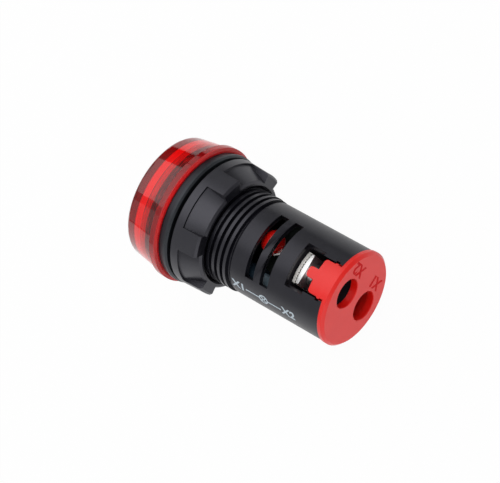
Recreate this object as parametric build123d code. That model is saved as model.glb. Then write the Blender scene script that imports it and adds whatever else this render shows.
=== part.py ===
from build123d import *
import math
import os

# Panel pilot light for a 22 mm hole, in millimetres.
# The lamp's axis is Y: the lens looks toward -Y and the terminals are at +Y.
# The origin is on the axis, in the plane where the panel meets the gasket.

# Barrel behind the panel
tube_r = 10.4
tube_wall = 1.2
tube_end_y = 36.9
tube_shoulder = 0.25
thread_root_r = 10.1
thread_end_y = 13.35
neck_wall = 1.3
collar_r = 10.7
collar_len = 0.65

# Head in front of the panel
head_plate_r = 14.5
head_plate_t = 1.4
head_ring_r = 12.7
head_ring_wall = 1.2
head_ring_len = 5.65
ring_rib_count = 4
ring_rib_pitch = 0.85
ring_rib_h = 0.18
ring_rib_half_w = 0.25

# Gasket
gasket_proud = 0.3
gasket_w = 3.55
gasket_t = 0.95
gasket_bevel = 0.35

# Lens
lens_front_r = 13.94
lens_len = 9.5
lens_cone_deg = 8.5
lens_crown = 0.7
lens_front_t = 1.85
lens_round = 0.8
lens_flange_r = 15.5
lens_flange_len = 1.75
lens_flange_bevel = 0.55
lens_throat_r = 12.3
lens_ring_room = 0.25

# Diffuser between the lens and the head ring
diffuser_t = 1.8
diffuser_gap = 0.1
diffuser_bevel = 0.2

# Nut
nut_len = 6.75
nut_rim_len = 2.1
nut_draft_deg = 3.0
nut_floor_front = 0.6
nut_floor_rear = 2.3
nut_lugs = 6
lug_deg = 20.0
nut_turn_deg = 1.2
lug_edge = 0.25
nut_rear_edge = 0.45
nut_start_y = 0.7
nut_countersink = 0.65

# Vents and terminal windows, cut on both sides of the barrel
vent_w = 2.15
vent_first_y = 17.7
vent_pitch = 3.85
vent_count = 2
vent_half_deg = 44.3
vent_draft_deg = 20.0
window_y = 27.5
window_half_w = 4.15
bevel_half_w = 4.9
bevel_len = 4.5
notch_y = 35.1
notch_len = 0.9
notch_depth = 0.35

# Rear cover
cover_r = 10.55
cover_rim_t = 1.4
cover_plate_t = 1.7
cover_edge = 0.6
spigot_len = 1.5
spigot_wall = 1.1
access_r = 3.3
access_chamfer = 0.12
tab_half_w = 3.75
tab_len = 3.9
tab_corner_r = 0.6
tip_half_w = 1.15
tip_len = 1.95
tip_corner_r = 0.7
tab_lap = 0.2

# Terminals
terminal_z = 4.5
plate_y = 27.8
plate_t = 0.8
plate_half_w = 3.45
plate_margin = 0.75
tail_half_w = 1.5
tail_t = 0.7
tail_len = 7.0
tap_collar_r = 2.3
tap_collar_len = 1.0
washer_t = 1.0
washer_gap = 0.1
washer_half_w = 3.3
washer_crown = 0.4
screw_r = 1.5
screw_head_r = 2.4
screw_head_t = 1.25
screw_len = 5.0
cross_w = 0.7
cross_len = 2.9
cross_depth = 0.7
bulkhead_t = 1.5
barrier_t = 1.2
serration_pitch = 0.62
serration_depth = 0.3

# Circuit boards and what they carry
board_t = 1.2
led_board_room = 0.2
led_count = 6
led_inset = 3.9
led_w = 3.5
led_len = 2.8
led_t = 1.9
led_well_r = 1.1
led_well = 0.35
driver_side_room = 0.6
driver_front_gap = 1.2
rail_depth = 0.8
rail_half_t = 1.6
pin_t = 0.64
pin_x = 3.0
pin_lap = 4.0
film_cap = (5.2, 4.8, 4.9)
film_cap_at = (-1.7, 18.3)
film_cap_room = 1.3
film_cap_round = 2.35
sleeve_r = 2.0
sleeve_y = 9.2
sleeve_len = 10.2
sleeve_lift = 0.7
rectifier = (2.7, 3.6, 4.5)
rectifier_y = 21.7
bore_room = 0.25
resistor_r = 1.15
resistor_len = 6.2
resistor_x = (-4.6, 0.0, 4.6)
resistor_y = 9.0
lead_r = 0.3

# Clearances
slip = 0.05
cover_gap = 0.05
seat_gap = 0.05
rail_gap = 0.05
lens_gap = 0.05

# Sizes that follow from the ones above
head_front_y = -gasket_t - head_plate_t
ring_front_y = head_front_y - head_ring_len
tube_bore_r = tube_r - tube_wall
neck_bore_r = thread_root_r - neck_wall
cover_face_y = tube_end_y + cover_rim_t
bulkhead_y = plate_y - bulkhead_t
nut_r = head_plate_r
nut_floor_front_r = nut_r - nut_floor_front
nut_floor_rear_r = nut_r - nut_floor_rear
gasket_r = head_plate_r + gasket_proud
head_spigot_r = gasket_r - gasket_w - slip
led_board_r = head_ring_r - head_ring_wall - led_board_room
clear_bore_r = min(neck_bore_r, tube_bore_r)
driver_half_w = clear_bore_r - driver_side_room
plate_edge_r = tube_bore_r - plate_margin
board_end_y = bulkhead_y
board_start_y = head_front_y + driver_front_gap
washer_y = plate_y + plate_t + washer_gap
head_y = washer_y + washer_t + seat_gap
nut_bore_r = collar_r + slip
nut_end_y = nut_start_y + nut_len
board_top = board_t / 2
eps = 0.01


def turned(*points):
    """Solid of revolution about Y from (radius, y) points."""
    return revolve(make_face(Polyline(*points, close=True)), Axis.Y)


def rod(radius, y0, y1, x=0.0, z=0.0):
    """Round bar along Y."""
    bar = Cylinder(radius, y1 - y0, align=(Align.CENTER, Align.CENTER, Align.MIN))
    return Pos(x, y0, z) * Rot(-90, 0, 0) * bar


def block(x0, x1, y0, y1, z0, z1):
    """Box between two corners."""
    size = Box(x1 - x0, y1 - y0, z1 - z0)
    return Pos((x0 + x1) / 2, (y0 + y1) / 2, (z0 + z1) / 2) * size


def prism_y(points, y0, y1):
    """Bar along Y whose section is a list of (x, z) points."""
    section = Plane.XZ * make_face(Polyline(*points, close=True))
    return Pos(0, y1, 0) * extrude(section, y1 - y0)


def both_sides(piece):
    """A piece and its copy half a turn round the lamp's axis."""
    return piece + Rot(0, 180, 0) * piece


def vent(index):
    """Cutter for one cooling slot, wider toward the outside."""
    half = tube_r * math.sin(math.radians(vent_half_deg))
    level = tube_r * math.cos(math.radians(vent_half_deg))
    spread = math.tan(math.radians(vent_draft_deg))
    low, high = level - 3 * tube_wall, tube_r + tube_wall
    narrow, wide = half - (level - low) * spread, half + (high - level) * spread
    y0 = vent_first_y + index * vent_pitch
    return prism_y([(-narrow, low), (narrow, low), (wide, high), (-wide, high)], y0, y0 + vent_w)


def window():
    """Cutter for a terminal window: straight sides, a bevelled mouth and two detent notches."""
    low = tube_bore_r * 0.5
    high = tube_r + tube_wall
    cut = block(-window_half_w, window_half_w, window_y, tube_end_y + 1, low, high)
    surface = math.sqrt(tube_r**2 - bevel_half_w**2)
    slope = (bevel_half_w - window_half_w) / (surface - tube_bore_r + tube_wall)
    reach = bevel_half_w + (high - surface) * slope
    foot = tube_bore_r - tube_wall
    mouth = [(-window_half_w, foot), (window_half_w, foot), (reach, high), (-reach, high)]
    cut += prism_y(mouth, window_y, window_y + bevel_len)
    wide = window_half_w + notch_depth
    return cut + block(-wide, wide, notch_y, notch_y + notch_len, low, high)


def housing():
    """Moulded body: head ring, panel flange, threaded neck and barrel in one piece."""
    body = turned(
        (head_ring_r, ring_front_y),
        (head_ring_r, head_front_y),
        (head_plate_r, head_front_y),
        (head_plate_r, -gasket_t),
        (head_spigot_r, -gasket_t),
        (head_spigot_r, 0),
        (collar_r, 0),
        (collar_r, collar_len),
        (thread_root_r, collar_len),
        (thread_root_r, thread_end_y),
        (tube_r - tube_shoulder, thread_end_y),
        (tube_r, thread_end_y + 2 * tube_shoulder),
        (tube_r, tube_end_y),
        (tube_bore_r, tube_end_y),
        (tube_bore_r, thread_end_y),
        (neck_bore_r, thread_end_y - (tube_bore_r - neck_bore_r)),
        (neck_bore_r, head_front_y),
        (head_ring_r - head_ring_wall, head_front_y),
        (head_ring_r - head_ring_wall, ring_front_y),
    )
    for index in range(ring_rib_count):
        body += ring_rib(ring_front_y + ring_rib_pitch * (index + 1))
    inner = tube_bore_r + tube_wall / 2
    bulkhead = rod(inner, bulkhead_y, plate_y)
    barrier_end = cover_face_y - cover_plate_t - cover_gap
    barrier = block(-inner, inner, bulkhead_y, barrier_end, -barrier_t / 2, barrier_t / 2)
    barrier &= rod(inner, bulkhead_y, barrier_end)
    barrier -= ring_room(tube_end_y - spigot_len - cover_gap, barrier_end + 1)
    rail_x = driver_half_w + rail_gap
    rail = block(rail_x - rail_depth, neck_bore_r + neck_wall / 2, 0, bulkhead_y, -rail_half_t, rail_half_t)
    rail_out = block(rail_x, inner, thread_end_y, bulkhead_y, -rail_half_t, rail_half_t)
    body += both_sides(rail + rail_out) + bulkhead + barrier
    groove = board_top + rail_gap
    body -= block(-rail_x, rail_x, -1, bulkhead_y, -groove, groove)
    tail_top = board_top + tail_t
    for side in (1, -1):
        body -= rod(tap_collar_r + slip, bulkhead_y - 1, plate_y + eps, 0, side * terminal_z)
        z0, z1 = sorted((0, side * tail_top))
        body -= block(-tail_half_w, tail_half_w, bulkhead_y - 1, plate_y, z0, z1)
    cuts = window()
    for index in range(vent_count):
        cuts += vent(index)
    return body - both_sides(cuts)


def ring_rib(y):
    """Snap rib round the head ring, which the lens grips."""
    root_r = head_ring_r - ring_rib_h
    half = 2 * ring_rib_half_w
    return turned((root_r, y - half), (head_ring_r + ring_rib_h, y), (root_r, y + half))


def ring_room(y0, y1):
    """Space that the cover's spigot takes inside the barrel."""
    outer = tube_bore_r + tube_wall
    inner = tube_bore_r - cover_gap - spigot_wall - cover_gap
    return rod(outer, y0, y1) - rod(inner, y0 - 1, y1 + 1)


def gasket():
    """Rubber ring between the head and the panel."""
    bore = head_spigot_r + slip
    return turned(
        (bore, -gasket_t),
        (gasket_r, -gasket_t),
        (gasket_r, -gasket_bevel),
        (gasket_r - gasket_bevel, 0),
        (bore, 0),
    )


def lens():
    """Hollow cap: crowned front, coned side and a flange that meets the head."""
    front_y = head_front_y - lens_len
    flange_y = head_front_y - lens_flange_len
    cone_r = lens_front_r + (flange_y - front_y) * math.tan(math.radians(lens_cone_deg))
    bore_r = head_ring_r + lens_ring_room
    seat_y = ring_front_y - lens_gap
    inner_y = front_y + lens_front_t
    crown_r = (lens_front_r**2 + lens_crown**2) / (2 * lens_crown)
    crown_deg = math.degrees(math.asin(lens_front_r / crown_r))
    crown = CenterArc((0, front_y - lens_crown + crown_r), crown_r, -90, crown_deg)
    rest = Polyline(
        (lens_front_r, front_y),
        (cone_r, flange_y),
        (lens_flange_r, flange_y),
        (lens_flange_r, head_front_y - lens_flange_bevel / 2),
        (lens_flange_r - lens_flange_bevel, head_front_y),
        (bore_r, head_front_y),
        (bore_r, seat_y),
        (lens_throat_r, seat_y),
        (lens_throat_r, inner_y),
        (0, inner_y - lens_crown),
        (0, front_y - lens_crown),
    )
    cap = revolve(make_face([crown, rest]), Axis.Y)
    edges = cap.edges().filter_by(GeomType.CIRCLE)
    rim = [e for e in edges if abs(e.radius - lens_front_r) < eps and abs(e.center().Y - front_y) < eps]
    return fillet(rim, lens_round)


def diffuser():
    """Opal disc that lies on the front of the head ring, inside the lens."""
    rear_y = ring_front_y - seat_gap
    front_y = rear_y - diffuser_t
    disc = rod(lens_throat_r - diffuser_gap, front_y, rear_y)
    return chamfer(disc.edges().filter_by(GeomType.CIRCLE), diffuser_bevel)


def nut_pocket():
    """Cutter for the space between two lugs, centred on +Z, with a floor that slopes inward."""
    pocket_deg = 360 / nut_lugs - lug_deg
    floor_y = nut_start_y + nut_rim_len
    slope = (nut_floor_front_r - nut_floor_rear_r) / (nut_end_y - floor_y)
    edge_r = nut_floor_rear_r + slope * nut_rear_edge
    section = make_face(
        Polyline(
            (nut_floor_front_r, floor_y),
            (nut_r + 1, floor_y),
            (nut_r + 1, nut_end_y + 1),
            (edge_r - nut_rear_edge - 1, nut_end_y + 1),
            (edge_r, nut_end_y - nut_rear_edge),
            close=True,
        )
    )
    return Rot(0, -90 - pocket_deg / 2, 0) * revolve(section, Axis.Y, pocket_deg)


def nut():
    """Plastic ring nut with six lugs and sloping pockets between them."""
    taper = math.tan(math.radians(nut_draft_deg))
    sink_y = nut_end_y - nut_countersink
    ring = turned(
        (nut_bore_r, nut_start_y),
        (nut_r, nut_start_y),
        (nut_r - nut_len * taper, nut_end_y),
        (nut_bore_r + nut_countersink, nut_end_y),
        (nut_bore_r, sink_y),
    )
    ring = chamfer(outermost(ring, nut_start_y), lug_edge)
    pocket = nut_pocket()
    for index in range(nut_lugs):
        ring -= Rot(0, nut_turn_deg + index * 360 / nut_lugs, 0) * pocket
    return chamfer(outermost(ring, nut_end_y), nut_rear_edge)


def outermost(piece, y):
    """Edges of a turned piece that lie in the plane y, on its largest radius there."""
    level = piece.edges().filter_by(lambda e: abs(e.center().Y - y) < eps and e.geom_type == GeomType.CIRCLE)
    largest = max(e.radius for e in level)
    return [e for e in level if e.radius > largest - eps]


def tab_outline():
    """Flat shape of a cover tab, seen from outside the lamp: a wide root and a narrow tip."""
    root_y = tube_end_y - tab_len
    tip_y = root_y - tip_len
    root = Pos(0, (root_y + tube_end_y) / 2) * Rectangle(2 * tab_half_w, tab_len)
    tip = Pos(0, (tip_y + tube_end_y) / 2) * Rectangle(2 * tip_half_w, tube_end_y - tip_y)
    root = fillet(root.vertices().group_by(Axis.Y)[0], tab_corner_r)
    tip = fillet(tip.vertices().group_by(Axis.Y)[0], tip_corner_r)
    bump_w = tab_half_w + notch_depth - 2 * slip
    bump = Pos(0, notch_y + notch_len / 2) * Rectangle(2 * bump_w, notch_len - 2 * slip)
    bump = chamfer(bump.vertices().group_by(Axis.Y)[0], notch_depth * 0.8)
    return root + tip + bump


def rear_cover():
    """Clipped cover: rimmed disc, spigot, two screw holes and a tab over each terminal window."""
    lower_y = cover_face_y - cover_plate_t
    spigot_r = tube_bore_r - cover_gap
    disc = rod(cover_r, tube_end_y, cover_face_y)
    rear = disc.edges().filter_by(lambda e: e.center().Y > cover_face_y - eps)
    disc = chamfer(rear, cover_edge)
    spigot = rod(spigot_r, tube_end_y - spigot_len, tube_end_y)
    spigot -= rod(spigot_r - spigot_wall, tube_end_y - spigot_len - 1, lower_y)
    height = tube_r - spigot_r + tab_lap
    tab = Pos(0, 0, tube_r - 3 * height) * extrude(tab_outline(), 4 * height)
    tab &= rod(tube_r, window_y, tube_end_y) - rod(spigot_r - tab_lap, window_y - 1, tube_end_y + 1)
    cover = disc + spigot + both_sides(tab)
    for side in (1, -1):
        cover -= rod(access_r, window_y, cover_face_y + 1, 0, side * terminal_z)
    mouths = cover.edges().filter_by(GeomType.CIRCLE)
    mouths = mouths.filter_by(lambda e: abs(e.radius - access_r) < eps and e.center().Y > cover_face_y - eps)
    return chamfer(mouths, access_chamfer)


def terminal_plate():
    """Bent contact: tapped plate behind the bulkhead and a tail soldered to the board."""
    bottom = barrier_t / 2
    plate = block(-plate_half_w, plate_half_w, plate_y, plate_y + plate_t, bottom, plate_edge_r)
    plate &= rod(plate_edge_r, plate_y, plate_y + plate_t)
    teeth = int(2 * plate_half_w / serration_pitch)
    for index in range(teeth):
        x = (index - (teeth - 1) / 2) * serration_pitch
        foot = plate_y + plate_t
        groove = [(x - serration_depth, foot), (x + serration_depth, foot), (x, foot - serration_depth)]
        cutter = Pos(0, 0, bottom + tail_t) * extrude(make_face(Polyline(*groove, close=True)), plate_edge_r)
        plate -= cutter
    tail = block(-tail_half_w, tail_half_w, plate_y - tail_len, plate_y + plate_t / 2, bottom, bottom + tail_t)
    collar = rod(tap_collar_r, plate_y - tap_collar_len, plate_y, 0, terminal_z)
    return plate + tail + collar - rod(screw_r + slip, window_y - 3, plate_y + 2, 0, terminal_z)


def clamp_washer():
    """Loose crowned plate under the screw head that presses the wire on the contact."""
    bottom = barrier_t / 2 + slip + tail_t
    washer = block(-washer_half_w, washer_half_w, washer_y, washer_y + washer_t, bottom, plate_edge_r)
    washer &= rod(plate_edge_r, washer_y, washer_y + washer_t)
    crown_r = (washer_half_w**2 + washer_crown**2) / (2 * washer_crown)
    washer &= Pos(0, washer_y + washer_t - crown_r, 0) * Cylinder(crown_r, 4 * plate_edge_r)
    return washer - rod(screw_r + slip, washer_y - 1, washer_y + 2, 0, terminal_z)


def terminal_screw():
    """Pan-head screw with a cross recess, head toward the rear."""
    head = rod(screw_head_r, head_y, head_y + screw_head_t, 0, terminal_z)
    head = fillet(head.edges().filter_by(lambda e: e.center().Y > head_y + screw_head_t - eps), screw_head_t / 3)
    shank = rod(screw_r, head_y - screw_len, head_y, 0, terminal_z)
    top = head_y + screw_head_t
    half, wide = cross_len / 2, cross_w / 2
    cross = block(-half, half, top - cross_depth, top + 1, terminal_z - wide, terminal_z + wide)
    cross += block(-wide, wide, top - cross_depth, top + 1, terminal_z - half, terminal_z + half)
    return head + shank - cross


def led(index):
    """Flat lamp block on the round board, with a shallow round well in its face."""
    base_y = head_front_y - board_t
    lamp = block(-led_w / 2, led_w / 2, base_y - led_t, base_y, -led_len / 2, led_len / 2)
    lamp -= rod(led_well_r, base_y - led_t - 1, base_y - led_t + led_well)
    return Rot(0, index * 360 / led_count, 0) * Pos(led_board_r - led_inset, 0, 0) * lamp


def led_board():
    """Round board that lies on the ledge of the head."""
    return rod(led_board_r, head_front_y - board_t, head_front_y)


def driver_board():
    """Long board between the two guide rails."""
    return block(-driver_half_w, driver_half_w, board_start_y, board_end_y, -board_top, board_top)


def link_pin(side):
    """Pin that joins the two boards."""
    x = side * pin_x
    end = board_start_y + pin_lap
    return block(x - pin_t / 2, x + pin_t / 2, head_front_y, end, board_top, board_top + pin_t)


def film_capacitor():
    """Dipped capacitor that stands on two leads above the board."""
    x, y = film_cap_at
    w, d, h = film_cap
    z = tube_bore_r - film_cap_room - h / 2
    body = Pos(x, y, z) * Box(w, d, h)
    body = fillet(body.edges(), film_cap_round)
    for shift in (-d / 4, d / 4):
        leg = Cylinder(lead_r, z - board_top, align=(Align.CENTER, Align.CENTER, Align.MIN))
        body += Pos(x, y + shift, board_top) * leg
    return body


def smoothing_capacitor():
    """Sleeved round capacitor lying along the board, with its crimp groove and two bent leads."""
    z = board_top + sleeve_lift + sleeve_r
    x = math.sqrt((clear_bore_r - bore_room - sleeve_r) ** 2 - z**2)
    y = sleeve_y
    end = y + sleeve_len
    groove_y, groove = y + 1.4, 0.3
    half = make_face(
        Polyline(
            (0, y),
            (sleeve_r, y),
            (sleeve_r, groove_y - groove),
            (sleeve_r - groove, groove_y),
            (sleeve_r, groove_y + groove),
            (sleeve_r, end),
            (0, end),
            close=True,
        )
    )
    body = Pos(x, 0, z) * revolve(half, Axis.Y)
    for shift in (-1.0, 1.0):
        body += block(x + shift - lead_r, x + shift + lead_r, y - 1.2, y + 0.5, z - lead_r, z + lead_r)
        body += block(x + shift - lead_r, x + shift + lead_r, y - 1.2, y - 0.6, board_top, z + lead_r)
    return body


def bridge_rectifier():
    """Upright moulded block on the board beside the terminals."""
    w, d, h = rectifier
    y = rectifier_y
    wall_x = math.sqrt(tube_bore_r**2 - (board_top + h) ** 2)
    side = min(wall_x, driver_half_w - rail_depth) - bore_room
    body = block(side - w, side, y - d / 2, y + d / 2, board_top, board_top + h)
    return chamfer(body.edges().group_by(Axis.Z)[-1], 0.4)


def resistor(index):
    """Axial resistor under the board, its leads bent up to it."""
    x = resistor_x[index]
    z = -board_top - resistor_r
    y0, y1 = resistor_y, resistor_y + resistor_len
    bulb = resistor_r - 0.2
    body = Pos(x, 0, z) * turned(
        (0, y0),
        (resistor_r, y0),
        (resistor_r, y0 + 1.2),
        (bulb, y0 + 1.6),
        (bulb, y1 - 1.6),
        (resistor_r, y1 - 1.2),
        (resistor_r, y1),
        (0, y1),
    )
    for y in (y0 - 1.6, y1 + 1.0):
        near, far = sorted((y + lead_r, y0 + 1 if y < y0 else y1 - 1))
        body += block(x - lead_r, x + lead_r, min(near, y), max(far, y + 2 * lead_r), z - lead_r, z + lead_r)
        body += block(x - lead_r, x + lead_r, y, y + 2 * lead_r, z - lead_r, -board_top)
    return body


def pieces():
    """Every piece of the lamp by node name."""
    yield "housing", housing()
    yield "gasket", gasket()
    yield "lens", lens()
    yield "diffuser", diffuser()
    yield "nut", nut()
    yield "rear_cover", rear_cover()
    yield "led_board", led_board()
    yield "driver_board", driver_board()
    for index in range(led_count):
        yield f"led_{index + 1}", led(index)
    for number, side in ((1, -1), (2, 1)):
        yield f"link_pin_{number}", link_pin(side)
    yield "film_capacitor", film_capacitor()
    yield "smoothing_capacitor", smoothing_capacitor()
    yield "bridge_rectifier", bridge_rectifier()
    for index in range(len(resistor_x)):
        yield f"resistor_{index + 1}", resistor(index)
    for name, turn in (("x2", 0), ("x1", 180)):
        place = Rot(0, turn, 0)
        yield f"terminal_plate_{name}", place * terminal_plate()
        yield f"clamp_washer_{name}", place * clamp_washer()
        yield f"terminal_screw_{name}", place * terminal_screw()


os.makedirs("parts", exist_ok=True)
for node, piece in pieces():
    export_step(piece, f"parts/{node}.step")
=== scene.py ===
import math
import bpy
import bmesh
from mathutils import Matrix, Vector


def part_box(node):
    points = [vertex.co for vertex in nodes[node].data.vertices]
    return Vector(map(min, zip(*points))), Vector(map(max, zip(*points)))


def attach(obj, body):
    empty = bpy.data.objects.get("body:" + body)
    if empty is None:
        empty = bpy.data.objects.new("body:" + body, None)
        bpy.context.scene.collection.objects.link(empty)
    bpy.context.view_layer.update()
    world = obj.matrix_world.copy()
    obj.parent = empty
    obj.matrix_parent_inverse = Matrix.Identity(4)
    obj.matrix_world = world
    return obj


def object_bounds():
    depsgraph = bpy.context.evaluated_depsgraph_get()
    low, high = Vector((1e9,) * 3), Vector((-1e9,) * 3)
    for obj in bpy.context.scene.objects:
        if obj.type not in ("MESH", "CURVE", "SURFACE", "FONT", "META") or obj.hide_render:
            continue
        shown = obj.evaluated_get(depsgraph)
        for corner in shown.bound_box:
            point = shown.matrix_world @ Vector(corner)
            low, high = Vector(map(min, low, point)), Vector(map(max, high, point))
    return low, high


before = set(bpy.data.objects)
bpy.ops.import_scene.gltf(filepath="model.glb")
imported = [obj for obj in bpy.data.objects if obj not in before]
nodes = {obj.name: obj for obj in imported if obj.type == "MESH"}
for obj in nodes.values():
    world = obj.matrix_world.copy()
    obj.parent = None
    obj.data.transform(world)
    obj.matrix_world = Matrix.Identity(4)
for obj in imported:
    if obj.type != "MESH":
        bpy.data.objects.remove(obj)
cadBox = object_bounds()
mm = 0.001
fontPerHeight = 1.37  # font size for a capital about 1 high, its bold stroke counted in
noiseRange = (0.3, 0.7)  # the stretch of noise values that is mapped


def hexColor(code):
    # sRGB hex to the linear values that shaders want
    parts = [int(code[i:i + 2], 16) / 255 for i in (1, 3, 5)]
    return [c / 12.92 if c <= 0.04045 else ((c + 0.055) / 1.055) ** 2.4 for c in parts] + [1.0]


def addNode(tree, kind, values=None, links=None, **settings):
    node = tree.nodes.new(kind)
    for name, value in settings.items():
        setattr(node, name, value)
    for name, value in (values or {}).items():
        node.inputs[name].default_value = value
    for name, socket in (links or {}).items():
        tree.links.new(socket, node.inputs[name])
    return node


def newMaterial(name):
    material = bpy.data.materials.new(name)
    material.use_nodes = True
    tree = material.node_tree
    tree.nodes.clear()
    return material, tree


def finishShader(tree, values, links=None):
    shader = addNode(tree, "ShaderNodeBsdfPrincipled", values, links)
    addNode(tree, "ShaderNodeOutputMaterial", links={"Surface": shader.outputs[0]})
    return shader


def colorRamp(tree, factor, stops):
    ramp = addNode(tree, "ShaderNodeValToRGB", links={"Fac": factor})
    points = ramp.color_ramp.elements
    while len(points) < len(stops):
        points.new(0.5)
    for point, (place, code) in zip(points, stops):
        point.position = place
        point.color = hexColor(code)
    return ramp.outputs["Color"]


def grain(tree, size, detail=3.0, roughness=0.5):
    # noise whose blotches are about size millimetres across
    place = addNode(tree, "ShaderNodeTexCoord")
    noise = addNode(tree, "ShaderNodeTexNoise",
                    {"Scale": 1 / (size * mm), "Detail": detail, "Roughness": roughness},
                    {"Vector": place.outputs["Object"]})
    return noise.outputs["Fac"]


def spread(tree, factor, low, high):
    # maps noise onto a range of roughness
    least, most = noiseRange
    node = addNode(tree, "ShaderNodeMapRange",
                   {"From Min": least, "From Max": most, "To Min": low, "To Max": high},
                   {"Value": factor})
    return node.outputs["Result"]


def bump(tree, height, depth, edge=0.0):
    # surface grain, with edges shaded as if slightly rounded
    node = addNode(tree, "ShaderNodeBump", {"Strength": 1.0, "Distance": depth * mm}, {"Height": height})
    if edge:
        soft = addNode(tree, "ShaderNodeBevel", {"Radius": edge * mm}, samples=6)
        tree.links.new(soft.outputs["Normal"], node.inputs["Normal"])
    return node.outputs["Normal"]


def twoTone(tree, factor, look):
    return colorRamp(tree, factor, list(zip(look["stops"], (look["dark"], look["light"]))))


nylonLook = {"dark": "#0c0c12", "light": "#131319", "stops": (0.35, 0.65), "grain": 0.24, "blotch": 4.0,
             "roughness": (0.29, 0.41), "depth": 0.006, "edge": 0.08, "innerR": 9.5, "shine": 0.5,
             "cast": "#f3f2ff", "ior": 1.53}


def makeNylon(name, look, paintedLightLook=None):
    # glass-filled nylon: even black with a fine moulded grain and a soft, slightly cold sheen
    material, tree = newMaterial(name)
    fine = grain(tree, look["grain"], 4.0)
    broad = grain(tree, look["blotch"], 2.0)
    color = twoTone(tree, broad, look)
    rough = spread(tree, fine, *look["roughness"])
    # the head ring's painted light and shade, and full roughness inside the barrel
    if paintedLightLook:
        color = addPaintedLight(tree, color, paintedLightLook)
        rough = roughInside(tree, rough, look["innerR"])
    finishShader(tree, {"IOR": look["ior"], "Specular IOR Level": look["shine"],
                        "Specular Tint": hexColor(look["cast"])},
                 {"Base Color": color, "Roughness": rough,
                  "Normal": bump(tree, fine, look["depth"], look["edge"])})
    return material


def roughInside(tree, rough, radius):
    # full roughness on the walls inside the barrel, which look near black in the photo
    place = addNode(tree, "ShaderNodeTexCoord")
    flat = addNode(tree, "ShaderNodeVectorMath", {1: (1, 0, 1)}, {0: place.outputs["Object"]},
                   operation="MULTIPLY")
    across = addNode(tree, "ShaderNodeVectorMath", links={0: flat.outputs[0]}, operation="LENGTH")
    inside = addNode(tree, "ShaderNodeMath", {1: radius * mm}, {0: across.outputs["Value"]},
                     operation="LESS_THAN")
    dull = addNode(tree, "ShaderNodeMath", links={0: inside.outputs[0], 1: rough}, operation="MAXIMUM")
    return dull.outputs[0]


# painted light on the housing's head ring: red glints, blots of shade and a red glow, laid on by place
paintedLightSet = {"back": -2.45, "lit": -6.7, "spacing": 0.3, "blot": 4.5, "stretch": 0.12, "share": 0.5,
             "low": "#050001", "mid": "#4a0208", "high": "#e0141c", "glow": "#ff1428",
             "stops": (0.505, 0.54, 0.62)}


def addPaintedLight(tree, color, look):
    # painted light and shade laid on the head ring by place, for what shows through the lens: fine red
    # rings of painted glints, broken up by dark blots of painted shade, and one bright red painted glow in
    # front of them
    place = addNode(tree, "ShaderNodeTexCoord")
    split = addNode(tree, "ShaderNodeSeparateXYZ", links={0: place.outputs["Object"]})
    squeeze = addNode(tree, "ShaderNodeMapping", {"Scale": (look["stretch"], 1.0, look["stretch"])},
                      {"Vector": place.outputs["Object"]})
    rings = addNode(tree, "ShaderNodeTexNoise",
                    {"Scale": 1 / (look["spacing"] * mm), "Detail": 2.0, "Roughness": 0.6},
                    {"Vector": squeeze.outputs[0]})
    shadeBlots = addNode(tree, "ShaderNodeTexNoise", {"Scale": 1 / (look["blot"] * mm), "Detail": 1.0},
                    {"Vector": place.outputs["Object"]})
    mixed = addNode(tree, "ShaderNodeMix", {0: look["share"]},
                    {2: shadeBlots.outputs["Fac"], 3: rings.outputs["Fac"]})
    shades = (look["low"], look["mid"], look["high"])
    red = colorRamp(tree, mixed.outputs[0], list(zip(look["stops"], shades)))
    lit = addNode(tree, "ShaderNodeMath", {1: look["lit"] * mm}, {0: split.outputs["Y"]},
                  operation="LESS_THAN")
    front = addNode(tree, "ShaderNodeMix", {7: hexColor(look["glow"])}, {0: lit.outputs[0], 6: red},
                    data_type="RGBA")
    behind = addNode(tree, "ShaderNodeMath", {1: look["back"] * mm}, {0: split.outputs["Y"]},
                     operation="LESS_THAN")
    mix = addNode(tree, "ShaderNodeMix", links={0: behind.outputs[0], 6: color, 7: front.outputs[2]},
                  data_type="RGBA")
    return mix.outputs[2]


# the sealing ring's rubber goes through makeNylon too: rougher than the nylon, with a cooler sheen
rubberLook = {"dark": "#101316", "light": "#181c20", "stops": (0.35, 0.65), "grain": 0.6, "blotch": 3.0,
              "roughness": (0.38, 0.5), "depth": 0.008, "edge": 0.1, "shine": 0.6, "cast": "#eef4ff",
              "ior": 1.53}
coverLook = {"dark": "#fa1a14", "light": "#ff2018", "stops": (0.3, 0.7), "grain": 0.35, "blotch": 5.0,
             "roughness": (0.3, 0.36), "depth": 0.001, "edge": 0.08, "ior": 1.54, "scatter": 0.35,
             "scatterReach": (1.0, 0.12, 0.08), "scatterScale": 1.2}


def makeCoverPlastic(name, look):
    # ABS: even signal red with a satin face, and a little light scattered inside it
    material, tree = newMaterial(name)
    fine = grain(tree, look["grain"], 3.0)
    broad = grain(tree, look["blotch"], 2.0)
    color = twoTone(tree, broad, look)
    finishShader(tree, {"IOR": look["ior"], "Subsurface Weight": look["scatter"],
                        "Subsurface Radius": look["scatterReach"],
                        "Subsurface Scale": look["scatterScale"] * mm},
                 {"Base Color": color, "Roughness": spread(tree, fine, *look["roughness"]),
                  "Normal": bump(tree, fine, look["depth"], look["edge"])})
    return material


# bodyEnd, solidEnd, edgeStart, hazyFrom and hazyTo are shares of the way from rimY to backY
# solid is the painted maroon shade of the disc's body, edge the painted bright red light at its back
lensLook = {"clear": "#ff9490", "solid": "#b8000a", "edge": "#f8000c", "deep": "#fd0070", "density": 3000,
            "wave": 0.9, "depth": 0.002, "ior": 1.58, "rimClear": 0.5, "gloss": 0.35, "coatRough": 0.02,
            "roughness": 0.02, "edgeRough": 0.5, "rimY": -4.25, "backY": -2.35, "bodyEnd": 0.12,
            "solidEnd": 0.7, "edgeStart": 0.8, "hazyFrom": 0.66, "hazyTo": 0.76}


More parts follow.
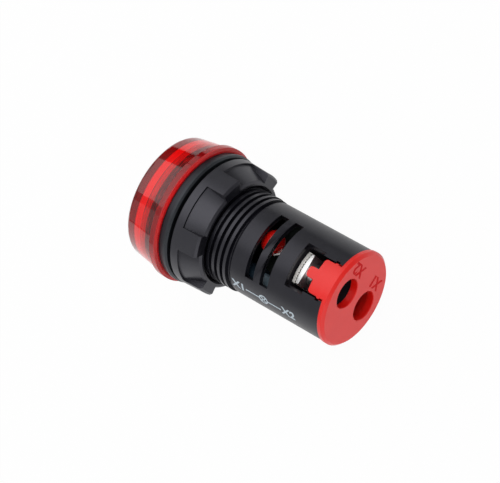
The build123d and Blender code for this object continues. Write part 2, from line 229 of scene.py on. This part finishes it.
def makeLensPlastic(name, look):
    # clear red polycarbonate with a polished face: bright through the wall, and cloudier in the thick rim;
    # the maroon where the light crosses the whole disc is painted shade, and the bright red back edge is
    # painted light
    material, tree = newMaterial(name)
    wave = grain(tree, look["wave"], 1.0)
    place = addNode(tree, "ShaderNodeTexCoord")
    split = addNode(tree, "ShaderNodeSeparateXYZ", links={0: place.outputs["Object"]})
    rim = addNode(tree, "ShaderNodeMapRange",
                  {"From Min": look["rimY"] * mm, "From Max": look["backY"] * mm},
                  {"Value": split.outputs["Y"]})
    clear = addNode(tree, "ShaderNodeMapRange",
                    {"From Max": look["bodyEnd"], "To Min": 1.0, "To Max": look["rimClear"]},
                    {"Value": rim.outputs[0]})
    # base colour by place: painted shade in the disc's body and painted light at its back edge
    color = colorRamp(tree, rim.outputs[0],
                      [(0.0, look["clear"]), (look["bodyEnd"], look["solid"]),
                       (look["solidEnd"], look["solid"]), (look["edgeStart"], look["edge"])])
    hazy = addNode(tree, "ShaderNodeMapRange",
                   {"From Min": look["hazyFrom"], "From Max": look["hazyTo"],
                    "To Min": look["roughness"], "To Max": look["edgeRough"]},
                   {"Value": rim.outputs[0]})
    gloss = addNode(tree, "ShaderNodeMapRange",
                    {"From Max": look["bodyEnd"], "To Min": look["gloss"], "To Max": 0.0},
                    {"Value": rim.outputs[0]})
    shader = addNode(tree, "ShaderNodeBsdfPrincipled",
                     {"IOR": look["ior"], "Coat Roughness": look["coatRough"]},
                     {"Base Color": color, "Roughness": hazy.outputs[0],
                      "Transmission Weight": clear.outputs[0],
                      "Coat Weight": gloss.outputs[0], "Normal": bump(tree, wave, look["depth"])})
    inside = addNode(tree, "ShaderNodeVolumeAbsorption",
                     {"Color": hexColor(look["deep"]), "Density": look["density"]})
    addNode(tree, "ShaderNodeOutputMaterial",
            links={"Surface": shader.outputs[0], "Volume": inside.outputs[0]})
    return material


metalLook = {"color": "#f4f4f4", "metal": 1.0, "grain": 0.08, "roughness": (0.3, 0.42), "depth": 0.003}


def makePlated(name, look):
    # bright zinc or nickel on a stamped part: pale metal with a fine random texture
    material, tree = newMaterial(name)
    fine = grain(tree, look["grain"], 2.0)
    finishShader(tree, {"Base Color": hexColor(look["color"]), "Metallic": look["metal"]},
                 {"Roughness": spread(tree, fine, *look["roughness"]),
                  "Normal": bump(tree, fine, look["depth"])})
    return material


plainLook = {"grain": 0.5, "depth": 0.004}


def makePlain(name, look, **values):
    # small inner parts: lacquer, epoxy or solder mask with a slight unevenness
    material, tree = newMaterial(name)
    fine = grain(tree, look["grain"], 3.0)
    settings = {"Base Color": hexColor(look["color"])}
    settings.update(values)
    finishShader(tree, settings, {"Roughness": spread(tree, fine, *look["roughness"]),
                                  "Normal": bump(tree, fine, look["depth"])})
    return material


def paint(node, material):
    mesh = nodes[node].data
    mesh.materials.clear()
    mesh.materials.append(material)


# the housing's nylon also carries the painted light and shade on its head ring
nylon = makeNylon("glassFilledNylon", nylonLook, paintedLightSet)
# a shinier copy of the nylon for the nut: painted light, for the stronger light that falls there
nutNylonPaintedLight = makeNylon("nutNylonPaintedLight", {**nylonLook, "shine": 0.72})
# lit and shaded copies of the nylon: a shinier one for the thread's crest as painted light, and one with
# almost no shine for its flanks and root as painted shade
threadLitNylon = makeNylon("threadLitNylon", {**nylonLook, "shine": 0.65})
rootShadeNylon = makeNylon("threadRootPaintedShadeNylon", {**nylonLook, "shine": 0.05})
rubber = makeNylon("mouldedRubber", rubberLook)
coverPlastic = makeCoverPlastic("signalRedAbs", coverLook)
lensPlastic = makeLensPlastic("clearRedPolycarbonate", lensLook)
zincPlate = makePlated("brightZincPlate", metalLook)
nickelPlate = makePlated("mattNickelPlate", {**metalLook, "color": "#fdfbf6", "metal": 0.4})
dippedCoat = makePlain("dippedRedEpoxy",
                       {**plainLook, "color": "#f81a12", "roughness": (0.12, 0.2), "grain": 1.2},
                       **{"Coat Weight": 1.0, "Coat Roughness": 0.2})
shrinkSleeve = makePlain("shrinkSleeve", {**plainLook, "color": "#2a3a48", "roughness": (0.2, 0.3)})
greyEpoxy = makePlain("greyMouldedEpoxy", {**plainLook, "color": "#566a76", "roughness": (0.4, 0.5)})
lacquer = makePlain("resistorLacquer", {**plainLook, "color": "#5f8fae", "roughness": (0.25, 0.35)})
# the driver board's mask is near black: a real dark green solder mask and painted shade inside the barrel
solderMaskAndShade = makePlain("darkSolderMaskAndShade", {**plainLook, "color": "#07140e", "roughness": (0.35, 0.45)})
whiteMask = makePlain("whiteSolderMask", {**plainLook, "color": "#e6e6e2", "roughness": (0.3, 0.4)})
# a painted glow: a faint red light of its own, though it is no lamp, fitted to the lens's front band in the
# photo
opalAcrylicPaintedGlow = makePlain("opalAcrylicPaintedGlow", {**plainLook, "color": "#ff1850", "roughness": (0.35, 0.45)},
                        **{"Emission Color": hexColor("#ff0c1c"), "Emission Strength": 0.3})
ledEpoxy = makePlain("paleMouldedEpoxy", {**plainLook, "color": "#e8dcd2", "roughness": (0.2, 0.3)})
tinned = makePlated("tinnedCopper", {**metalLook, "color": "#d8d8d6"})

finishes = {"housing": nylon, "nut": nutNylonPaintedLight, "gasket": rubber, "lens": lensPlastic,
            "rear_cover": coverPlastic, "film_capacitor": dippedCoat, "smoothing_capacitor": shrinkSleeve,
            "bridge_rectifier": greyEpoxy, "led_board": whiteMask, "driver_board": solderMaskAndShade,
            "diffuser": opalAcrylicPaintedGlow}
for node in nodes:
    if node.startswith("led_") and node != "led_board":
        finishes[node] = ledEpoxy
    elif node.startswith("resistor"):
        finishes[node] = lacquer
    elif node.startswith("link_pin"):
        finishes[node] = tinned
    elif node.startswith("terminal_plate"):
        finishes[node] = nickelPlate
    elif node.startswith(("clamp_washer", "terminal_screw")):
        finishes[node] = zincPlate
for node, material in finishes.items():
    paint(node, material)
print("materials on", len(finishes), "pieces")


# sink and lift are shares of the ridge's height, and runOut is a share of the thread's length
threadSet = {"rootR": 10.1, "crestR": 10.69, "pitch": 1.5, "crestW": 0.72, "flankW": 0.2, "sink": 0.3,
             "lift": 0.03, "startY": 1.6, "turns": 7.65, "runOut": 0.03, "shadeR": 10.5, "steps": 96}


def treeWithInputs(name, inputs):
    tree = bpy.data.node_groups.new(name, "GeometryNodeTree")
    tree.interface.new_socket("Geometry", in_out="OUTPUT", socket_type="NodeSocketGeometry")
    for label, kind in inputs:
        tree.interface.new_socket(label, in_out="INPUT", socket_type=kind)
    return tree, tree.nodes.new("NodeGroupInput"), tree.nodes.new("NodeGroupOutput")


def growPiece(name, tree, values):
    # runs a Geometry Nodes tree on an empty mesh and keeps the result as a plain mesh
    holder = bpy.data.objects.new(name + "Tree", bpy.data.meshes.new(name + "Tree"))
    bpy.context.scene.collection.objects.link(holder)
    modifier = holder.modifiers.new("grow", "NODES")
    modifier.node_group = tree
    for socket in tree.interface.items_tree:
        if socket.in_out == "INPUT" and socket.name in values:
            modifier[socket.identifier] = values[socket.name]
    bpy.context.view_layer.update()
    shown = holder.evaluated_get(bpy.context.evaluated_depsgraph_get())
    mesh = bpy.data.meshes.new_from_object(shown)
    mesh.name = name
    holder.modifiers.clear()
    bpy.data.objects.remove(holder)
    piece = bpy.data.objects.new(name, mesh)
    bpy.context.scene.collection.objects.link(piece)
    return piece


def makeThread(look, material, shaded):
    # a helix swept with a flat-topped ridge, wound about Y; its flanks and root get a copy of the nylon
    # with almost no shine, painted shade as they look near black in the photo, and its crest a shinier
    # copy, painted light
    sizes = [("Radius", "NodeSocketFloat"), ("Turns", "NodeSocketFloat"), ("Length", "NodeSocketFloat"),
             ("Start", "NodeSocketFloat"), ("Run Out", "NodeSocketFloat"), ("Finish", "NodeSocketMaterial"),
             ("Shaded", "NodeSocketMaterial"), ("Shade Radius", "NodeSocketFloat")]
    tree, given, result = treeWithInputs("neckThread", sizes)
    spiral = addNode(tree, "GeometryNodeCurveSpiral", {"Resolution": look["steps"]},
                     {"Rotations": given.outputs["Turns"], "Start Radius": given.outputs["Radius"],
                      "End Radius": given.outputs["Radius"], "Height": given.outputs["Length"]})
    upright = addNode(tree, "GeometryNodeSetCurveNormal", links={"Curve": spiral.outputs[0]}, mode="Z_UP")
    along = addNode(tree, "GeometryNodeSplineParameter")
    back = addNode(tree, "ShaderNodeMath", {0: 1.0}, {1: along.outputs["Factor"]}, operation="SUBTRACT")
    nearer = addNode(tree, "ShaderNodeMath", links={0: along.outputs["Factor"], 1: back.outputs[0]},
                     operation="MINIMUM")
    share = addNode(tree, "ShaderNodeMath", links={0: nearer.outputs[0], 1: given.outputs["Run Out"]},
                    operation="DIVIDE")
    share.use_clamp = True
    tapered = addNode(tree, "GeometryNodeSetCurveRadius",
                      links={"Curve": upright.outputs[0], "Radius": share.outputs[0]})
    height = (look["crestR"] - look["rootR"]) * mm
    half, foot = look["crestW"] / 2 * mm, (look["crestW"] / 2 + look["flankW"]) * mm
    low, under, wide = look["lift"] * height, -look["sink"] * height, look["pitch"] / 2 * mm
    corners = [(under, -wide), (low, -wide), (low, -foot), (height, -half),
               (height, half), (low, foot), (low, wide), (under, wide)]
    section = addNode(tree, "GeometryNodeMeshLine", {"Count": len(corners)})
    index = addNode(tree, "GeometryNodeInputIndex")
    place = None
    for number, (x, y) in enumerate(corners):
        match = addNode(tree, "FunctionNodeCompare", {3: number}, {2: index.outputs[0]}, data_type="INT",
                        operation="EQUAL")
        choose = addNode(tree, "GeometryNodeSwitch", {2: (-x, y, 0)}, {0: match.outputs[0]},
                         input_type="VECTOR")
        if place is None:
            place = choose.outputs[0]
        else:
            tree.links.new(place, choose.inputs[1])
            place = choose.outputs[0]
    moved = addNode(tree, "GeometryNodeSetPosition",
                    links={"Geometry": section.outputs[0], "Position": place})
    outline = addNode(tree, "GeometryNodeMeshToCurve", links={"Mesh": moved.outputs[0]})
    closed = addNode(tree, "GeometryNodeSetSplineCyclic", {"Cyclic": True},
                     {"Geometry": outline.outputs[0]})
    sweep = addNode(tree, "GeometryNodeCurveToMesh", {"Fill Caps": True},
                    {"Curve": tapered.outputs[0], "Profile Curve": closed.outputs[0]})
    if "Scale" in sweep.inputs:
        tree.links.new(share.outputs[0], sweep.inputs["Scale"])
    turned = addNode(tree, "GeometryNodeTransform", {"Rotation": (-math.pi / 2, 0, 0)},
                     {"Geometry": sweep.outputs[0]})
    shift = addNode(tree, "ShaderNodeCombineXYZ", links={"Y": given.outputs["Start"]})
    placed = addNode(tree, "GeometryNodeTransform",
                     links={"Geometry": turned.outputs[0], "Translation": shift.outputs[0]})
    faceted = addNode(tree, "GeometryNodeSetShadeSmooth", {"Shade Smooth": False},
                      {"Geometry": placed.outputs[0]})
    solid = addNode(tree, "GeometryNodeRealizeInstances", links={"Geometry": faceted.outputs[0]})
    coated = addNode(tree, "GeometryNodeSetMaterial",
                     links={"Geometry": solid.outputs[0], "Material": given.outputs["Finish"]})
    spot = addNode(tree, "GeometryNodeInputPosition")
    flat = addNode(tree, "ShaderNodeVectorMath", {1: (1, 0, 1)}, {0: spot.outputs[0]}, operation="MULTIPLY")
    across = addNode(tree, "ShaderNodeVectorMath", links={0: flat.outputs[0]}, operation="LENGTH")
    deep = addNode(tree, "FunctionNodeCompare",
                   links={0: across.outputs["Value"], 1: given.outputs["Shade Radius"]},
                   data_type="FLOAT", operation="LESS_THAN")
    shade = addNode(tree, "GeometryNodeSetMaterial",
                    links={"Geometry": coated.outputs[0], "Selection": deep.outputs[0],
                           "Material": given.outputs["Shaded"]})
    tree.links.new(shade.outputs[0], result.inputs[0])
    length = look["turns"] * look["pitch"]
    return growPiece("neck_thread", tree,
                     {"Radius": look["rootR"] * mm, "Turns": look["turns"], "Length": length * mm,
                      "Run Out": look["runOut"], "Start": look["startY"] * mm, "Finish": material,
                      "Shaded": shaded, "Shade Radius": look["shadeR"] * mm})


neckThread = makeThread(threadSet, threadLitNylon, rootShadeNylon)
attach(neckThread, "lamp")
print("thread", len(neckThread.data.polygons), "faces")


leadSet = {"points": [(0.1, 19.8, 5.9), (0.6, 20.2, 6.25), (0.2, 20.9, 6.4), (-0.4, 21.6, 6.3),
                      (-1.6, 22.4, 5.6), (-2.4, 22.6, 3.5), (-2.4, 22.6, 0.6)],
           "wire": 0.5, "order": 3, "stepsAlong": 8, "stepsRound": 4}


def makeLead(look, material):
    # the film capacitor's tinned lead, bent over and down to the board
    curve = bpy.data.curves.new("capacitorLeadPath", "CURVE")
    curve.dimensions = "3D"
    spline = curve.splines.new("NURBS")
    spline.points.add(len(look["points"]) - 1)
    for point, place in zip(spline.points, look["points"]):
        point.co = [v * mm for v in place] + [1.0]
    spline.order_u = look["order"]
    spline.use_endpoint_u = True
    spline.resolution_u = look["stepsAlong"]
    curve.bevel_depth = look["wire"] / 2 * mm
    curve.bevel_resolution = look["stepsRound"]
    curve.use_fill_caps = True
    holder = bpy.data.objects.new("leadPath", curve)
    bpy.context.scene.collection.objects.link(holder)
    bpy.context.view_layer.update()
    mesh = bpy.data.meshes.new_from_object(holder.evaluated_get(bpy.context.evaluated_depsgraph_get()))
    bpy.data.objects.remove(holder)
    mesh.materials.clear()
    mesh.materials.append(material)
    for face in mesh.polygons:
        face.use_smooth = True
    piece = bpy.data.objects.new("capacitor_lead", mesh)
    bpy.context.scene.collection.objects.link(piece)
    return piece


lead = makeLead(leadSet, tinned)
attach(lead, "lamp")

# the marks' colour, a red darker than the cover's, is painted shade of the raised letters
markSet = {"size": 2.6, "across": -5.33, "x2": 5.4, "x1": -3.7, "lift": 0.02, "bold": 0.1, "thick": 0.04,
           "color": "#e41218"}
printSet = {"angle": 64.0, "middle": 22.6, "half": 6.6, "radius": 10.4, "height": 2.1, "line": 0.34,
            "bold": 0.08, "thick": 0.02, "lampR": 1.2, "letterRoom": 1.9, "weld": 0.0005, "slices": 8,
            "slice": 0.16, "color": "#c6d4de"}


def textMesh(name, words, size, look, material):
    curve = bpy.data.curves.new(name, "FONT")
    curve.body = words
    curve.size = size * mm
    curve.offset = look["bold"] * mm
    curve.extrude = look["thick"] / 2 * mm
    curve.align_x = "CENTER"
    curve.align_y = "CENTER"
    curve.resolution_u = 4
    holder = bpy.data.objects.new(name + "Text", curve)
    bpy.context.scene.collection.objects.link(holder)
    bpy.context.view_layer.update()
    mesh = bpy.data.meshes.new_from_object(holder.evaluated_get(bpy.context.evaluated_depsgraph_get()))
    bpy.data.objects.remove(holder)
    mesh.name = name
    mesh.materials.clear()
    mesh.materials.append(material)
    return mesh


def makeMark(words, z, look, material):
    # letters stand toward +X and read toward +Z, on the cover's rear face
    mesh = textMesh("mark_" + words.lower(), words, look["size"] * fontPerHeight, look, material)
    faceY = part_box("rear_cover")[1][1] + look["lift"] * mm
    turn = Matrix(((0, 1, 0), (0, 0, 1), (1, 0, 0))).to_4x4()
    mesh.transform(Matrix.Translation((look["across"] * mm, faceY, z * mm)) @ turn)
    piece = bpy.data.objects.new(mesh.name, mesh)
    bpy.context.scene.collection.objects.link(piece)
    return piece


def flatBar(work, start, end, width, depth):
    # a straight printed line as a thin closed slab
    start, end = Vector(start), Vector(end)
    aside = Vector((start.y - end.y, end.x - start.x)).normalized() * width / 2
    corners = [start + aside, start - aside, end - aside, end + aside]
    low = [work.verts.new((c.x, c.y, -depth / 2)) for c in corners]
    top = [work.verts.new((c.x, c.y, depth / 2)) for c in corners]
    work.faces.new(top)
    work.faces.new(low[::-1])
    for i in range(4):
        work.faces.new((low[i], low[(i + 1) % 4], top[(i + 1) % 4], top[i]))


def flatRing(work, radius, width, depth, steps=48):
    rings = []
    for r, z in ((radius, depth / 2), (radius, -depth / 2), (radius - width, -depth / 2),
                 (radius - width, depth / 2)):
        rings.append([work.verts.new((r * math.cos(2 * math.pi * i / steps),
                                      r * math.sin(2 * math.pi * i / steps), z))
                      for i in range(steps)])
    for k in range(4):
        a, b = rings[k], rings[(k + 1) % 4]
        for i in range(steps):
            work.faces.new((a[i], b[i], b[(i + 1) % steps], a[(i + 1) % steps]))


def makePrint(look, material):
    # a wiring sign in pale ink along the barrel, bent round it: terminal, lamp symbol, terminal
    work = bmesh.new()
    for words, side in (("X1", -1), ("X2", 1)):
        letters = textMesh("letters", words, look["height"] * fontPerHeight, look, material)
        letters.transform(Matrix.Translation((side * look["half"] * mm, 0, 0)))
        work.from_mesh(letters)
        bpy.data.meshes.remove(letters)
    r, line, depth = look["lampR"] * mm, look["line"] * mm, look["thick"] * mm
    flatRing(work, r, line, depth)
    inner = (r - line) * math.sqrt(0.5)
    flatBar(work, (-inner, -inner), (inner, inner), line, depth)
    flatBar(work, (-inner, inner), (inner, -inner), line, depth)
    reach = (look["half"] - look["letterRoom"]) * mm
    flatBar(work, (-reach, 0), (-r, 0), line, depth)
    flatBar(work, (r, 0), (reach, 0), line, depth)
    bmesh.ops.remove_doubles(work, verts=work.verts, dist=look["weld"] * mm)
    for step in range(-look["slices"], look["slices"] + 1):
        # narrow strips, so that the flat faces can follow the barrel
        bmesh.ops.bisect_plane(work, geom=work.verts[:] + work.edges[:] + work.faces[:],
                               plane_co=(0, step * look["slice"] * mm, 0), plane_no=(0, 1, 0))
    for vertex in work.verts:
        along, up, out = vertex.co
        angle = math.radians(look["angle"]) - up / (look["radius"] * mm)
        away = (look["radius"] + look["thick"]) * mm + out
        vertex.co = (away * math.sin(angle), look["middle"] * mm + along, away * math.cos(angle))
    bmesh.ops.recalc_face_normals(work, faces=work.faces)
    mesh = bpy.data.meshes.new("wiring_sign")
    work.to_mesh(mesh)
    work.free()
    mesh.materials.append(material)
    piece = bpy.data.objects.new("wiring_sign", mesh)
    bpy.context.scene.collection.objects.link(piece)
    return piece


# the marks are a darker, duller red than the cover: painted shade of the letters' relief
markShadeAbs = makePlain("raisedMarkShadedAbs", {**plainLook, "color": markSet["color"], "roughness": (0.5, 0.6)},
                    **{"Specular IOR Level": 0.1})
for words in ("X2", "X1"):
    mark = makeMark(words, markSet[words.lower()], markSet, markShadeAbs)
    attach(mark, "lamp")
signInk = makePlain("paleScreenInk",
                    {**plainLook, "color": printSet["color"], "roughness": (0.4, 0.5), "grain": 0.2})
sign = makePrint(printSet, signInk)
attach(sign, "lamp")
print("lead, marks and sign")


# fitted to the photo
cameraSet = {"position": (20.768, 218.052, 360.171), "forward": (-0.04954, -0.49908, -0.86514),
             "up": (-0.85631, -0.42462, 0.29399), "focalPixels": 2000, "pictureWidth": 500, "sensor": 36,
             "near": 10, "far": 20000}


def makeCamera(look):
    data = bpy.data.cameras.new("camera")
    data.sensor_width = look["sensor"]
    data.lens = look["focalPixels"] / look["pictureWidth"] * look["sensor"]
    data.clip_start = look["near"] * mm
    data.clip_end = look["far"] * mm
    camera = bpy.data.objects.new("camera", data)
    bpy.context.scene.collection.objects.link(camera)
    back = -Vector(look["forward"]).normalized()
    up = Vector(look["up"]).normalized()
    right = up.cross(back).normalized()
    turn = Matrix((right, back.cross(right), back)).transposed()
    camera.matrix_world = Matrix.Translation(Vector(look["position"]) * mm) @ turn.to_4x4()
    bpy.context.scene.camera = camera


makeCamera(cameraSet)

# the floor's reflection values, from shineFrom to shineTo along X, are a painted reflection
lightSet = {"around": {(1, 0, 0): 0.35, (-1, 0, 0): 0.04, (0, 1, 0): 0.3, (0, -1, 0): 0.04, (0, 0, 1): 0.8},
            "focus": 2.0, "floorColor": "#f4f4f4", "floorReach": 3000, "floorGap": 0.5, "floorShown": 0.97,
            "paintedFloorReflection": (0.04, 0.75), "shineFrom": -60, "shineTo": 20, "lampFar": 600,
            "lamps": {"key": {"toward": (-0.2, -0.62, 0.76), "wide": 720, "high": 540, "level": 0.8},
                      "top": {"toward": (0.0, 0.08, 1.0), "wide": 500, "high": 480, "level": 1.0},
                      "front": {"toward": (0.74, -0.56, 0.37), "wide": 420, "high": 420, "level": 0.32},
                      "left": {"toward": (-0.85, -0.42, 0.35), "wide": 200, "high": 200, "level": 0.6},
                      "side": {"toward": (0.6, 0.8, 0.1), "wide": 400, "high": 400, "level": 0.8}}}


def makeLights(look):
    # level sets how bright a lamp's face is, whatever its size; the studio's walls glow from five sides
    # and are plain white to the camera
    world = bpy.data.worlds.new("studio")
    bpy.context.scene.world = world
    world.use_nodes = True
    tree = world.node_tree
    tree.nodes.clear()
    place = addNode(tree, "ShaderNodeTexCoord")
    path = addNode(tree, "ShaderNodeLightPath")
    level = addNode(tree, "ShaderNodeMath", links={0: path.outputs["Is Camera Ray"],
                                                   1: path.outputs["Is Transmission Ray"]},
                    operation="MAXIMUM")
    for side, share in look["around"].items():
        facing = addNode(tree, "ShaderNodeVectorMath", {1: side}, {0: place.outputs["Generated"]},
                         operation="DOT_PRODUCT")
        facing = addNode(tree, "ShaderNodeMath", {1: 0.0}, {0: facing.outputs["Value"]},
                         operation="MAXIMUM")
        facing = addNode(tree, "ShaderNodeMath", {1: look["focus"]}, {0: facing.outputs[0]},
                         operation="POWER")
        level = addNode(tree, "ShaderNodeMath", {1: share}, {0: facing.outputs[0], 2: level.outputs[0]},
                        operation="MULTIPLY_ADD")
    level = addNode(tree, "ShaderNodeMath", {1: 1.0}, {0: level.outputs[0]}, operation="MINIMUM")
    back = addNode(tree, "ShaderNodeBackground", {"Color": (1, 1, 1, 1)}, {"Strength": level.outputs[0]})
    addNode(tree, "ShaderNodeOutputWorld", links={"Surface": back.outputs[0]})
    for name, lamp in look["lamps"].items():
        data = bpy.data.lights.new(name, "AREA")
        data.shape = "RECTANGLE"
        data.size = lamp["wide"] * mm
        data.size_y = lamp["high"] * mm
        data.energy = lamp["level"] * math.pi * data.size * data.size_y
        piece = bpy.data.objects.new(name, data)
        bpy.context.scene.collection.objects.link(piece)
        piece.location = Vector(lamp["toward"]).normalized() * look["lampFar"] * mm
        piece.rotation_euler = (-piece.location).to_track_quat("-Z", "Y").to_euler()


def makeFloor(level, look):
    # a matt white sheet: nearly all white to the camera and through the lens; in reflections it shows a
    # painted reflection that grows ever stronger from left to right, as fitted to the photo
    material, tree = newMaterial("whiteSheet")
    path = addNode(tree, "ShaderNodeLightPath")
    cloth = addNode(tree, "ShaderNodeBsdfDiffuse", {"Color": hexColor(look["floorColor"])})
    glow = addNode(tree, "ShaderNodeEmission", {"Color": (1, 1, 1, 1), "Strength": 1.0})
    shown = addNode(tree, "ShaderNodeMath", links={0: path.outputs["Is Camera Ray"],
                                                   1: path.outputs["Is Transmission Ray"]},
                    operation="MAXIMUM")
    shown = addNode(tree, "ShaderNodeMath", {1: look["floorShown"]}, {0: shown.outputs[0]},
                    operation="MULTIPLY")
    place = addNode(tree, "ShaderNodeTexCoord")
    split = addNode(tree, "ShaderNodeSeparateXYZ", links={0: place.outputs["Object"]})
    # painted reflection: the sheet's brightness in glossy rays rises along X
    dim, bright = look["paintedFloorReflection"]
    shine = addNode(tree, "ShaderNodeMapRange",
                    {"From Min": look["shineFrom"] * mm, "From Max": look["shineTo"] * mm,
                     "To Min": dim, "To Max": bright},
                    {"Value": split.outputs["X"]})
    shine = addNode(tree, "ShaderNodeMath", links={0: path.outputs["Is Glossy Ray"], 1: shine.outputs[0]},
                    operation="MULTIPLY")
    share = addNode(tree, "ShaderNodeMath", links={0: shown.outputs[0], 1: shine.outputs[0]},
                    operation="MAXIMUM")
    mix = addNode(tree, "ShaderNodeMixShader",
                  links={0: share.outputs[0], 1: cloth.outputs[0], 2: glow.outputs[0]})
    addNode(tree, "ShaderNodeOutputMaterial", links={"Surface": mix.outputs[0]})
    mesh = bpy.data.meshes.new("floor")
    reach = look["floorReach"] * mm
    corners = [(-reach, -reach, level), (reach, -reach, level),
               (reach, reach, level), (-reach, reach, level)]
    mesh.from_pydata(corners, [], [(0, 1, 2, 3)])
    mesh.materials.append(material)
    floor = bpy.data.objects.new("floor", mesh)
    bpy.context.scene.collection.objects.link(floor)


makeLights(lightSet)
makeFloor(cadBox[0][2] - lightSet["floorGap"] * mm, lightSet)
view = bpy.context.scene.view_settings
view.view_transform = "Standard"
print("camera, lights and floor")
